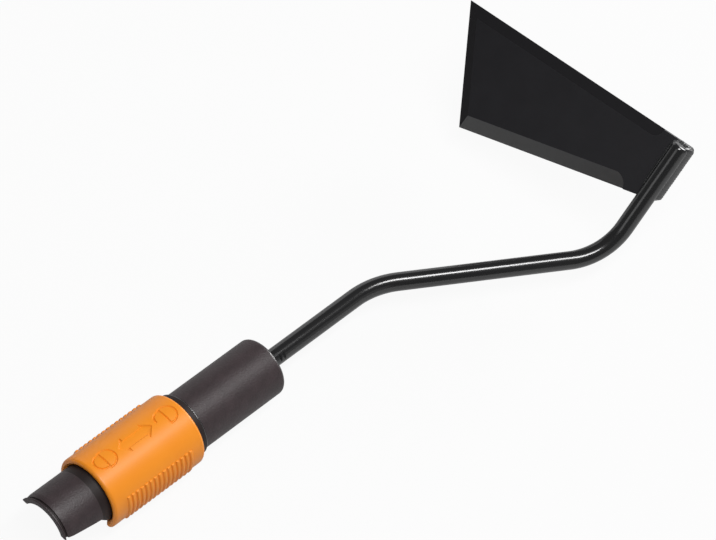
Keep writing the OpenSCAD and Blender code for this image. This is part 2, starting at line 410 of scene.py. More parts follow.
def add_node(
    tree: Tree, kind: str, settings: dict[str, object], inputs: dict[str | int, object]
) -> bpy.types.Node:
    """Add a node with its settings, values and links.

    Args:
        tree: Node tree that it goes in.
        kind: Blender's name of the node.
        settings: The node's own properties.
        inputs: Value of each input, or the output socket that is linked to it.

    Returns:
        The node.
    """
    node = tree.nodes.new(kind)
    for key, value in settings.items():
        setattr(node, key, value)
    for key, value in inputs.items():
        if isinstance(value, Socket):
            tree.links.new(value, node.inputs[key])
        else:
            node.inputs[key].default_value = value
    return node


def blank_material(name: str) -> tuple[Material, Tree, Socket]:
    """Start a material.

    Args:
        name: The finish's own name.

    Returns:
        The material, its empty node tree and the piece's Object coordinates.
    """
    material = bpy.data.materials.new(name)
    material.use_nodes = True
    tree = material.node_tree
    tree.nodes.clear()
    coordinates = add_node(tree, "ShaderNodeTexCoord", {}, {})
    return material, tree, coordinates.outputs["Object"]


@dataclass(frozen=True)
class Finish:
    """Surface whose colour and roughness wander with its patterns.

    Attributes:
        name: Common name of the material.
        dark: Colour of the darkest spots.
        light: Colour of the lightest spots.
        smoothest: Roughness of the smoothest spots.
        roughest: Roughness of the roughest spots.
    """

    name: str
    dark: str
    light: str
    smoothest: float
    roughest: float

    def join(self, tree: Tree, tone: Socket, wear: Socket, inputs: dict[str, object]) -> None:
        """Join the patterns to the shader, and the shader to the material's output.

        Args:
            tree: The material's node tree.
            tone: Pattern that the colour follows.
            wear: Pattern that the roughness follows.
            inputs: What else the shader takes.
        """
        tones = {0: tone, MIX_FROM: linear(self.dark), MIX_TO: linear(self.light)}
        colour = add_node(tree, "ShaderNodeMix", {"data_type": "RGBA"}, tones)
        span = {"Value": wear, "To Min": self.smoothest, "To Max": self.roughest}
        roughness = add_node(tree, "ShaderNodeMapRange", {}, span)
        wander = {"Base Color": colour.outputs[MIX_OUT], "Roughness": roughness.outputs["Result"]}
        shader = add_node(tree, "ShaderNodeBsdfPrincipled", {}, {**wander, **inputs})
        add_node(tree, "ShaderNodeOutputMaterial", {}, {"Surface": shader.outputs["BSDF"]})


@dataclass(frozen=True)
class Coat(Finish):
    """Plastic or enamel, with broad clouds in its colour and a fine relief.

    Attributes:
        relief_mm: Width of the relief.
        relief_depth: Depth of the relief.
        ior: Index of refraction.
        gloss: Share of the full mirror shine, where 0.5 is all that the index gives.
        relief_detail: How much finer the relief goes on.
    """

    relief_mm: float
    relief_depth: float
    ior: float
    gloss: float = 0.5
    relief_detail: float = 2.0

    def coat(self, cloud_mm: float, cloud_detail: float, relief_wears: bool) -> Material:
        """Build the material.

        Args:
            cloud_mm: Width of the clouds.
            cloud_detail: How much finer the clouds go on.
            relief_wears: Whether the roughness follows the relief, or else the clouds.

        Returns:
            The material.
        """
        material, tree, where = blank_material(self.name)
        sizes = (cloud_mm, cloud_detail), (self.relief_mm, self.relief_detail)
        patterns = [{"Vector": where, "Scale": per_mm(size), "Detail": detail} for size, detail in sizes]
        cloud, relief = (add_node(tree, "ShaderNodeTexNoise", {}, pattern) for pattern in patterns)
        height = {"Height": relief.outputs["Fac"], "Distance": mm(self.relief_depth)}
        bump = add_node(tree, "ShaderNodeBump", {}, height)
        shine = {"Normal": bump.outputs["Normal"], "IOR": self.ior, "Specular IOR Level": self.gloss}
        wear = relief if relief_wears else cloud
        self.join(tree, cloud.outputs["Fac"], wear.outputs["Fac"], shine)
        return material


@dataclass(frozen=True)
class MouldedPlastic(Coat):
    """Moulded thermoplastic: an even colour that clouds a little, on a fine eroded grain.

    The real grain is finer, and it is drawn as coarse as shows.
    """

    cloud_mm: float = 11.0
    cloud_detail: float = 3.0

    def material(self) -> Material:
        """Build the plastic's material, which is roughest where its grain is high."""
        return self.coat(self.cloud_mm, self.cloud_detail, relief_wears=True)


@dataclass(frozen=True)
class BlackEnamel(Coat):
    """Stoved black enamel on steel: near black, with the slow ripple that a sprayed coat flows to."""

    # Width of its thicker and thinner spots, in ripples
    mottle_ripples: float = 7.0
    mottle_detail: float = 4.0

    def material(self) -> Material:
        """Build the enamel's material, which is roughest where it is thin."""
        return self.coat(self.relief_mm * self.mottle_ripples, self.mottle_detail, relief_wears=False)


@dataclass(frozen=True)
class SpringSteel(Finish):
    """Bright drawn spring steel: a clean metal with the faint marks that the die leaves."""

    name: str = "drawn_spring_steel"
    dark: str = "#8C8C90"
    light: str = "#B4B4B8"
    smoothest: float = 0.22
    roughest: float = 0.36
    mark_mm: float = 0.4
    mark_detail: float = 2.0

    def material(self) -> Material:
        """Build the steel's material.

        Returns:
            The material.
        """
        material, tree, where = blank_material(self.name)
        pattern = {"Vector": where, "Scale": per_mm(self.mark_mm), "Detail": self.mark_detail}
        marks = add_node(tree, "ShaderNodeTexNoise", {}, pattern)
        self.join(tree, marks.outputs["Fac"], marks.outputs["Fac"], {"Metallic": 1.0})
        return material


# Polyamide filled with glass fibre: the fibre leaves a grey bloom, so its black is a dark warm grey
GLASS_FILLED_NYLON = MouldedPlastic(
    "glass_filled_nylon", "#241B1D", "#3C2F32", 0.44, 0.54, 0.9, 0.16, ior=1.53, cloud_mm=6.0
)
# The same polyamide made darker and dull, as painted shade: on the guide and the flange, where the sleeve
# shades them, and in the lip's groove
NYLON_WITH_PAINTED_SHADE = MouldedPlastic(
    "nylon_with_painted_shade", "#1D1616", "#261D1D", 0.50, 0.60, 0.9, 0.03, ior=1.53, gloss=0.3
)
# The same polyamide from polished parts of the mould, the flange's rear edge and the barrel's end: it shines
POLISHED_NYLON = MouldedPlastic(
    "polished_nylon", "#1B1819", "#221F20", 0.22, 0.28, 0.8, 0.004, ior=1.53, gloss=1.0
)
# Polypropylene coloured right through: clean, a little waxy, with a broad soft highlight
ORANGE_POLYPROPYLENE = MouldedPlastic(
    "orange_polypropylene", "#EC8A1A", "#F0921E", 0.37, 0.44, 0.8, 0.03, ior=1.49, cloud_mm=14.0
)
# The bar is dipped and stoved, so it is black with a hard gloss
GLOSS_ENAMEL = BlackEnamel(
    "gloss_black_enamel", "#141415", "#181819", 0.17, 0.22, 5.0, 0.0004, ior=1.75
)
# The plate is sprayed thinner, so it is a satin black
SATIN_ENAMEL = BlackEnamel(
    "satin_black_enamel", "#131216", "#18171B", 0.32, 0.40, 1.6, 0.004, ior=1.5
)
# The back band has the plate's enamel a little lighter, a painted sheen for the light that it mirrors, with a
# high index so that it mirrors more
BACK_BAND_ENAMEL_WITH_PAINTED_SHEEN = BlackEnamel(
    "back_band_enamel_with_painted_sheen", "#161618", "#1B1B1C", 0.34, 0.40, 0.9, 0.001, ior=1.92
)
# The other bands have the plate's enamel a little darker, a painted shade for the dark that they mirror, and
# rougher
OTHER_BANDS_ENAMEL_WITH_PAINTED_SHADE = BlackEnamel(
    "other_bands_enamel_with_painted_shade", "#111013", "#151417", 0.54, 0.62, 0.9, 0.006, ior=1.5, gloss=0.2
)
# The beads are rough under their enamel, which breaks their shine up
WELD_ENAMEL = BlackEnamel(
    "enamel_on_weld", "#1A1A1B", "#242425", 0.30, 0.42, 0.9, 0.02, ior=1.75
)


# Pieces


@dataclass(frozen=True)
class Layout:
    """Places along the coupling, and the radii that its pieces share."""

    tongue_len: float = 24.0
    core_len: float = 73.4
    flange_w: float = 4.4
    barrel_len: float = 56.8
    sleeve_len: float = 62.4
    slide_gap: float = 0.3
    travel: float = 27.0
    body_r: float = 17.0
    spigot_r: float = 11.0
    spigot_len: float = 36.0
    rod_r: float = 5.0
    rod_hold: float = 40.0
    fit_gap: float = 0.05
    detent_x: float = 58.3
    detent_w: float = 1.6
    slant: float = 45.0

    @property
    def core_end(self) -> float:
        """Rear face of the core's flange."""
        return self.tongue_len + self.core_len

    @property
    def flange_start(self) -> float:
        """Front face of the flange, which stops the sleeve."""
        return self.core_end - self.flange_w

    @property
    def barrel_end(self) -> float:
        """Rear end of the barrel."""
        return self.core_end + self.barrel_len

    @property
    def sleeve_end(self) -> float:
        """Rear end of the sleeve."""
        return self.flange_start - self.slide_gap

    @property
    def sleeve_start(self) -> float:
        """Front end of the sleeve."""
        return self.sleeve_end - self.sleeve_len

    @property
    def rod_start(self) -> float:
        """Inner end of the rod, inside the core."""
        return self.core_end - self.rod_hold


@dataclass
class CouplingCore:
    """Black moulding with the half-round tongue, the guide for the sleeve and the stop flange."""

    layout: Layout
    segments: int = 96
    round_steps: int = 4
    socket_r: float = 14.0
    tip_round: float = 0.5
    lip_w: float = 0.9
    lip_h: float = 0.2
    lip_round: float = 0.2
    lip_groove_w: float = 1.6
    lip_groove_h: float = 1.0
    # Slope behind the lip's groove, which catches the light from above
    slope_w: float = 2.6
    slope_h: float = 0.4
    slope_round: float = 4.0
    # Where the darker nylon of painted shade ahead of the sleeve's mouth starts
    painted_shade_start: float = 25.2
    edge_tip_z: float = 6.8
    edge_seat_z: float = 2.7
    flange_h: float = 0.9
    flange_round: float = 0.7
    flange_chamfer: float = 0.9
    detent_groove_r: float = 15.65
    edge_break: float = 0.25
    edge_angle: float = 40.0
    overrun: float = 1.0

    @property
    def groove_end(self) -> float:
        """Rear side of the lip's groove."""
        return self.lip_w + self.lip_groove_w

    def section(self) -> list[Corner]:
        """Draw the half section, from the middle of the seat round the outside to the end of the rod's hole.

        Returns:
            Its corners.
        """
        lay = self.layout
        lip_r, groove_r = lay.body_r + self.lip_h, lay.body_r - self.lip_groove_h
        flange_r = lay.body_r + self.flange_h
        spigot_end = lay.core_end + lay.spigot_len
        bore_r = lay.rod_r + lay.fit_gap
        return [
            Corner(lay.tongue_len, 0.0),
            Corner(lay.tongue_len, self.socket_r),
            Corner(0.0, self.socket_r, self.tip_round),
            Corner(0.0, lip_r, self.tip_round),
            Corner(self.lip_w, lip_r, self.lip_round),
            Corner(self.lip_w, groove_r, self.lip_round),
            Corner(self.groove_end, groove_r, self.lip_round),
            Corner(self.groove_end, lay.body_r - self.slope_h, self.lip_round),
            Corner(self.groove_end + self.slope_w, lay.body_r, self.slope_round),
            Corner(self.painted_shade_start, lay.body_r),
            Corner(lay.detent_x, lay.body_r),
            Corner(lay.detent_x, self.detent_groove_r),
            Corner(lay.detent_x + lay.detent_w, self.detent_groove_r),
            Corner(lay.detent_x + lay.detent_w, lay.body_r),
            Corner(lay.flange_start, lay.body_r),
            Corner(lay.flange_start, flange_r, self.flange_round),
            Corner(lay.core_end - self.flange_chamfer, flange_r, self.flange_round),
            Corner(lay.core_end, flange_r - self.flange_chamfer),
            Corner(lay.core_end, lay.spigot_r),
            Corner(spigot_end, lay.spigot_r),
            Corner(spigot_end, bore_r),
            Corner(lay.rod_start, bore_r),
            Corner(lay.rod_start, 0.0),
        ]

    def opening(self) -> Piece:
        """Model the space below the tongue's edges and in front of the slanted seat.

        Returns:
            The cutter.
        """
        lay = self.layout
        slope = (self.edge_tip_z - self.edge_seat_z) / lay.tongue_len
        side = 2 * lay.body_r
        depth = self.edge_seat_z + side
        back = lay.tongue_len + depth * math.tan(math.radians(lay.slant))
        outline = [
            (-self.overrun, -side, self.edge_tip_z + slope * self.overrun),
            (lay.tongue_len, -side, self.edge_seat_z),
            (back, -side, -side),
            (-self.overrun, -side, -side),
        ]
        return prism("tongue_opening", outline, (0.0, 2 * side, 0.0))

    def build(self, finish: Material, painted_shade: Material, polished: Material) -> None:
        """Model and dress the core.

        Args:
            finish: Finish of the tongue.
            painted_shade: Darker finish of the guide that the sleeve slides on, of the flange, and of the
                lip's groove, as painted shade.
            polished: Finish of the flange's rear edge.
        """
        core = turned("coupling_core_moulding", self.section(), self.segments, self.round_steps)
        carve(core, self.opening())
        ease_edges(core, self.edge_break, self.edge_angle)
        rear_edge = self.layout.core_end - self.flange_chamfer - self.flange_round
        # Index 1 paints shade: darker nylon on the guide and flange, which the sleeve shades, and in the
        # lip's groove
        for facet in core.data.polygons:
            x, y, z = facet.center / MM
            across = math.hypot(y, z)
            on_guide = x > self.painted_shade_start and across > self.detent_groove_r
            in_groove = self.lip_w < x < self.groove_end and across > self.socket_r + self.lip_round
            if x > rear_edge:
                facet.material_index = 2
            elif on_guide or in_groove:
                facet.material_index = 1
        smooth(core)
        fit_piece(core, Body.HEAD, "coupling_core", [finish, painted_shade, polished])


@dataclass
class Barrel:
    """Black moulding that grips the core's spigot and the rod."""

    layout: Layout
    segments: int = 96
    round_steps: int = 8
    outer_r: float = 16.6
    end_round: float = 2.6
    front_round: float = 0.5
    mouth_chamfer: float = 0.6
    # Turn of the normals towards the end that tells its rounding from the side
    rim_least: float = 0.3

    def section(self) -> list[Corner]:
        """Draw the closed half section.

        Returns:
            Its corners.
        """
        lay = self.layout
        spigot_bore, rod_bore = lay.spigot_r + lay.fit_gap, lay.rod_r + lay.fit_gap
        step = lay.core_end + lay.spigot_len + lay.fit_gap
        return [
            Corner(lay.core_end, spigot_bore),
            Corner(lay.core_end, self.outer_r, self.front_round),
            Corner(lay.barrel_end, self.outer_r, self.end_round),
            Corner(lay.barrel_end, rod_bore + self.mouth_chamfer),
            Corner(lay.barrel_end - self.mouth_chamfer, rod_bore),
            Corner(step, rod_bore),
            Corner(step, spigot_bore),
            Corner(lay.core_end, spigot_bore),
        ]

    def build(self, finish: Material, polished: Material) -> None:
        """Model and dress the barrel.

        Args:
            finish: Finish of its side.
            polished: Finish of its rear end.
        """
        barrel = turned("barrel_moulding", self.section(), self.segments, self.round_steps)
        begin()
        for facet in barrel.data.polygons:
            if facet.normal.x > self.rim_least:
                facet.material_index = 1
        smooth(barrel)
        fit_piece(barrel, Body.HEAD, "barrel", [finish, polished])


class Sign(Enum):
    """Signs on top of the sleeve."""

    LOCKED = "locked"
    SLIDE = "slide"
    OPEN = "open"


@dataclass
class SleeveSigns:
    """Cutters of the shut lock, double arrow and open lock that are sunk into the top of the sleeve.

    Each is drawn flat, with X along the sleeve and Y to the left, and is then wrapped round it.
    """

    sleeve_r: float
    depth: float = 0.6
    draft: float = 0.5
    above: float = 0.1
    overrun: float = 0.5
    row_y: float = 0.9
    stroke: float = 1.4
    lock_r: float = 5.3
    lock_depth: float = 1.5
    shackle_r: float = 4.4
    shackle_leg: float = 1.6
    shackle_shut: float = 180.0
    shackle_open: float = 100.0
    locked_x: float = 40.3
    open_x: float = 81.8
    arrow_near: float = 49.9
    arrow_far: float = 73.1
    arrow_arm: float = 5.5
    arrow_shaft: float = 3.1
    cut_pitch: float = 0.8
    arc_steps: int = 12
    # Rise of the normals that tells a flat cutter's underside
    under_most: float = -0.9

    @property
    def sweep(self) -> Point:
        """Way that a flat cutter is extruded, up and clear of the sleeve."""
        return 0.0, 0.0, self.overrun

    def lock_case(self) -> Piece:
        """Model the ring with one straight side that is the case of both locks.

        Returns:
            The flat cutter.
        """
        half = self.stroke / 2
        wide = self.lock_r + half
        far = self.lock_depth + wide
        straight = [Corner(-half, wide), Corner(-half, -wide)]
        corners = [*straight, Corner(far, -wide, wide), Corner(far, wide, wide)]
        outline = outline_at(self.above, corners, self.arc_steps)
        case = draw_chain("lock_case", [*outline, outline[0]])
        bpy.ops.mesh.edge_face_add()
        bpy.ops.mesh.inset(thickness=mm(self.stroke))
        bpy.ops.mesh.delete(type="FACE")
        bpy.ops.mesh.select_all(action="SELECT")
        extrude(self.sweep)
        mend()
        return case

    def shackle(self, turn: float) -> Piece:
        """Model the bow of a lock, with a right leg if its turn shuts it.

        Args:
            turn: How far the bow runs round from its left leg, in degrees.

        Returns:
            The flat cutter.
        """
        sides = []
        for radius in (self.shackle_r + self.stroke / 2, self.shackle_r - self.stroke / 2):
            bow = [math.radians(turn * i / self.arc_steps) for i in range(self.arc_steps + 1)]
            side = [(-self.shackle_leg - radius * math.sin(a), radius * math.cos(a)) for a in bow]
            side = [(0.0, radius), *side]
            if turn == self.shackle_shut:
                side.append((0.0, -radius))
            sides.append(side)
        outline = [(x, y, self.above) for x, y in (*sides[0], *reversed(sides[1]))]
        return prism("shackle", outline, self.sweep)

    def lock(self, case: Piece, sign: Sign) -> Piece:
        """Copy the case and give it its own shackle, at its place along the sleeve.

        Args:
            case: Case of both locks.
            sign: Which lock it is.

        Returns:
            The flat cutter.
        """
        focus(case)
        bpy.ops.object.duplicate()
        lock = bpy.context.object
        shut = sign is Sign.LOCKED
        carve(lock, self.shackle(self.shackle_shut if shut else self.shackle_open), "UNION")
        place(lock, Matrix.Translation(metres((self.locked_x if shut else self.open_x, 0.0, 0.0))))
        return lock

    def double_arrow(self) -> Piece:
        """Model the solid arrow with a head at each end.

        Returns:
            The flat cutter.
        """
        near, far, arm, shaft = self.arrow_near, self.arrow_far, self.arrow_arm, self.arrow_shaft
        left = [(near, 0.0), (near + arm, arm), (near + arm, shaft), (far - arm, shaft), (far - arm, arm)]
        right = [(far, 0.0), *((x, -y) for x, y in reversed(left[1:]))]
        return prism("double_arrow", [(x, y, self.above) for x, y in (*left, *right)], self.sweep)

    def wrap(self, flat: Piece) -> None:
        """Sink a flat cutter with sloping sides, cut it into narrow strips, and bend it round the sleeve.

        Args:
            flat: The flat cutter.
        """
        focus(flat, "EDIT")
        select_faces(flat, lambda face: face.normal.z < self.under_most)
        bpy.ops.mesh.inset(thickness=mm(self.draft), depth=mm(self.above + self.depth))
        cuts = round(2 * self.lock_r / self.cut_pitch)
        for i in range(-cuts // 2, cuts // 2 + 1):
            bpy.ops.mesh.select_all(action="SELECT")
            bpy.ops.mesh.bisect(plane_co=metres((0.0, i * self.cut_pitch, 0.0)), plane_no=Y_AXIS)
        for vert in bmesh.from_edit_mesh(flat.data).verts:
            radius, angle = mm(self.sleeve_r) + vert.co.z, (vert.co.y + mm(self.row_y)) / mm(self.sleeve_r)
            vert.co.yz = radius * math.sin(angle), radius * math.cos(angle)
        mend()
        begin()

    def cut(self, sleeve: Piece) -> None:
        """Sink the signs into the sleeve.

        Args:
            sleeve: The sleeve.
        """
        case = self.lock_case()
        for sign in Sign:
            cutter = self.double_arrow() if sign is Sign.SLIDE else self.lock(case, sign)
            self.wrap(named(cutter, f"sign_{sign.value}"))
            carve(sleeve, cutter)
        bpy.data.objects.remove(case, do_unlink=True)


@dataclass
class LockingSleeve:
    """Orange sleeve with ribbed sides, a slanted mouth and sunk signs."""

    layout: Layout
    segments: int = 128
    round_steps: int = 6
    smooth_to: float = 40.0
    bore_gap: float = 0.3
    wall: float = 3.3
    rim_round: float = 1.8
    bore_chamfer: float = 1.1
    chamfer_round: float = 0.3
    groove_depth: float = 0.6
    groove_side: float = 0.3
    rib_count: int = 15
    rib_pitch: float = 3.05
    rib_w: float = 2.1
    rib_h: float = 0.5
    # Width and height of each step of a rib's rounding
    rib_steps: tuple[tuple[float, float], ...] = ((0.2, 0.48), (0.28, 0.24), (0.3, 0.08))
    rib_half_span: float = 24.5
    # The sleeve sits turned a little to the left on its core, and its ribs with it
    rib_turn: float = 2.5
    mouth_drop: float = 10.0
    mouth_blend: float = 34.0
    key_start: float = 47.3
    key_len: float = 6.0
    key_w: float = 5.0
    key_h: float = 1.1

    @property
    def bore_r(self) -> float:
        """Radius of the bore."""
        return self.layout.body_r + self.bore_gap

    @property
    def outer_r(self) -> float:
        """Radius of the outside, without the ribs."""
        return self.bore_r + self.wall

    @property
    def rib_places(self) -> list[float]:
        """Find the ribs, in a row that is centred on the sleeve.

        Returns:
            Middle of each rib along X.
        """
        middle = (self.layout.sleeve_start + self.layout.sleeve_end) / 2
        first = middle - (self.rib_count - 1) * self.rib_pitch / 2
        return [first + i * self.rib_pitch for i in range(self.rib_count)]

    def section(self) -> list[Corner]:
        """Draw the closed half section, with a station at each edge of each rib.

        Returns:
            Its corners.
        """
        lay = self.layout
        start, end = lay.sleeve_start, lay.sleeve_end
        chamfer_r, groove_r = self.bore_r + self.bore_chamfer, self.bore_r + self.groove_depth
        half = self.rib_w / 2
        corners = [
            Corner(start + self.bore_chamfer, self.bore_r),
            Corner(start, chamfer_r, self.chamfer_round),
            Corner(start, self.outer_r, self.rim_round),
        ]
        for x in self.rib_places:
            corners += [Corner(x - half, self.outer_r), Corner(x + half, self.outer_r)]
        corners += [
            Corner(end, self.outer_r, self.rim_round),
            Corner(end, chamfer_r, self.chamfer_round),
            Corner(end - self.bore_chamfer, self.bore_r),
        ]
        for x in (lay.detent_x + lay.travel, lay.detent_x):
            front, back = x - self.groove_side, x + lay.detent_w + self.groove_side
            corners += [
                Corner(back, self.bore_r),
                Corner(back, groove_r),
                Corner(front, groove_r),
                Corner(front, self.bore_r),
            ]
        return [*corners, corners[0]]

    def on_rib(self, face: bmesh.types.BMFace) -> bool:
        """Tell whether a face of the plain sleeve lies under a rib.

        Args:
            face: The face.

        Returns:
            True if it does.
        """
        x, y, z = face.calc_center_median() / MM
        outside = math.hypot(y, z) > self.outer_r - self.rib_h
        aside = math.degrees(math.atan2(z, abs(y))) + math.copysign(self.rib_turn, y)
        near = min(abs(x - rib) for rib in self.rib_places)
        return outside and abs(aside) < self.rib_half_span and near < self.rib_w / 4

    def raise_ribs(self, sleeve: Piece) -> None:
        """Raise the ribs in steps, so that their tops are rounded.

        Args:
            sleeve: The plain sleeve, in edit mode.
        """
        select_faces(sleeve, self.on_rib)
        for width, height in self.rib_steps:
            bpy.ops.mesh.inset(thickness=mm(width), depth=mm(height), use_even_offset=True)

    def slant_mouth(self, sleeve: Piece) -> None:
        """Slant the lower part of the mouth back, rim and all.

        Args:
            sleeve: The sleeve, in edit mode.
        """
        lay = self.layout
        slope = math.tan(math.radians(lay.slant))
        for vert in bmesh.from_edit_mesh(sleeve.data).verts:
            drop = -self.mouth_drop - vert.co.z / MM
            share = 1.0 - (vert.co.x / MM - lay.sleeve_start) / self.mouth_blend
            if drop > 0.0 and share > 0.0:
                vert.co.x += mm(drop * slope * share)
        bmesh.update_edit_mesh(sleeve.data)

    def keyway(self) -> Piece:
        """Model the space that the key slides in, under the bore.

        Returns:
            The cutter.
        """
        lay = self.layout
        start = self.key_start - self.groove_side
        end = self.key_start + self.key_len + lay.travel + self.groove_side
        half, low = self.key_w / 2 + self.groove_side, -(lay.body_r + self.key_h + self.groove_side)
        outline = [(start, -half, low), (end, -half, low), (end, half, low), (start, half, low)]
        return prism("keyway", outline, (0.0, 0.0, self.wall))

    def build(self, finish: Material) -> None:
        """Model and dress the sleeve.

        Args:
            finish: Its finish.
        """
        sleeve = turned("locking_sleeve_moulding", self.section(), self.segments, self.round_steps)
        self.raise_ribs(sleeve)
        self.slant_mouth(sleeve)
        carve(sleeve, self.keyway())
        SleeveSigns(self.outer_r).cut(sleeve)
        smooth(sleeve, self.smooth_to)
        fit_piece(sleeve, Body.SLEEVE, "locking_sleeve", [finish])


@dataclass
class NeckRod:
    """Round bar that leaves the barrel, turns aside, and bends up into the blade's foot."""

    layout: Layout
    segments: int = 48
    neck_len: float = 80.7
    neck_turn: float = 31.2
    bend_1_r: float = 50.0
    crank_len: float = 128.5
    blade_pitch: float = 52.0
    bend_2_r: float = 35.0
    foot_len: float = 74.0
    end_round: float = 2.0
    end_steps: int = 6
    degrees_per_step: float = 2.5
    run_step: float = 4.0
    crimp_places: tuple[float, ...] = (162.6, 165.2)
    crimp_turn: float = 52.0
    crimp_half: float = 0.8
    crimp_depth: float = 0.6

    @property
    def crank(self) -> Vector:
        """Direction of the crank."""
        turn = math.radians(self.neck_turn)
        return Vector((math.cos(turn), -math.sin(turn), 0.0))

    @property
    def foot(self) -> Vector:
        """Direction of the foot, up along the blade."""
        pitch = math.radians(self.blade_pitch)
        return Vector((math.cos(pitch), 0.0, math.sin(pitch)))

    @property
    def corner_1(self) -> Vector:
        """Corner between the neck and the crank."""
        return Vector((self.layout.barrel_end + self.neck_len, 0.0, 0.0))

    @property
    def corner_2(self) -> Vector:
        """Corner between the crank and the foot."""
        return self.corner_1 + self.crank * self.crank_len

    def foot_frame(self) -> Matrix:
        """Blade's frame: X along the foot from the second corner, Y left, Z out of the blade."""
        axes = Matrix((self.foot, Y_AXIS, self.foot.cross(Y_AXIS))).transposed().to_4x4()
        return Matrix.Translation(metres(self.corner_2)) @ axes

    def run(self, direction: Vector, length: float) -> None:
        """Extrude the bar straight on from its selected end, in short steps that keep its gloss even.

        Args:
            direction: Direction of the stretch.
            length: Its length.
        """
        steps = math.ceil(length / self.run_step)
        for _ in range(steps):
            extrude(direction * length / steps)

    def bend(self, corner: Vector, before: Vector, after: Vector, radius: float) -> None:
        """Spin the bar's selected end round a bend.

        Args:
            corner: Where the two straight stretches would meet.
            before: Direction of the stretch before.
            after: Direction of the stretch after.
            radius: Radius of the bend's middle line.
        """
        angle = before.angle(after)
        start = corner - before * radius * math.tan(angle / 2)
        inwards = (after - before * before.dot(after)).normalized()
        bpy.ops.mesh.spin(
            steps=round(math.degrees(angle) / self.degrees_per_step),
            angle=angle,
            center=metres(start + inwards * radius),
            axis=after.cross(before).normalized(),
        )

    def crimp(self, x: float) -> Piece:
        """Model the wedge that presses one crimp into the bar's right side, just behind the barrel.

        Args:
            x: Place of the crimp along the bar.

        Returns:
            The cutter.
        """
        over, side = self.crimp_depth, 2 * self.layout.rod_r
        deep, high = self.layout.rod_r - self.crimp_depth, self.layout.rod_r + over
        half = self.crimp_half * (self.crimp_depth + over) / self.crimp_depth
        outline = [(0.0, -side / 2, deep), (half, -side / 2, high), (-half, -side / 2, high)]
        cutter = prism("crimp", outline, (0.0, side, 0.0))
        turn = Matrix.Rotation(math.radians(self.crimp_turn), 4, "X")
        place(cutter, Matrix.Translation(metres((x, 0.0, 0.0))) @ turn)
        return cutter

    def build(self, finish: Material) -> None:
        """Model and dress the bar.

        Args:
            finish: Its finish.
        """
        lay = self.layout
        tangents = [
            self.bend_1_r * math.tan(X_AXIS.angle(self.crank) / 2),
            self.bend_2_r * math.tan(self.crank.angle(self.foot) / 2),
        ]
        bar = disc("neck_bar", lay.rod_r, self.segments, X_AXIS * lay.rod_start, X_AXIS)
        self.run(X_AXIS, self.corner_1.x - tangents[0] - lay.rod_start)
        self.bend(self.corner_1, X_AXIS, self.crank, self.bend_1_r)
        self.run(self.crank, self.crank_len - sum(tangents))
        self.bend(self.corner_2, self.crank, self.foot, self.bend_2_r)
        self.run(self.foot, self.foot_len - tangents[1])
        bpy.ops.mesh.bevel(offset=mm(self.end_round), segments=self.end_steps, affect="EDGES")
        mend()
        for x in self.crimp_places:
            carve(bar, self.crimp(x))
        smooth(bar)
        fit_piece(bar, Body.HEAD, "neck_rod", [finish])


class RunOut(Enum):
    """End of a ground band that runs out round on the blade."""

    START = "start"
    END = "end"
    NEITHER = "neither"


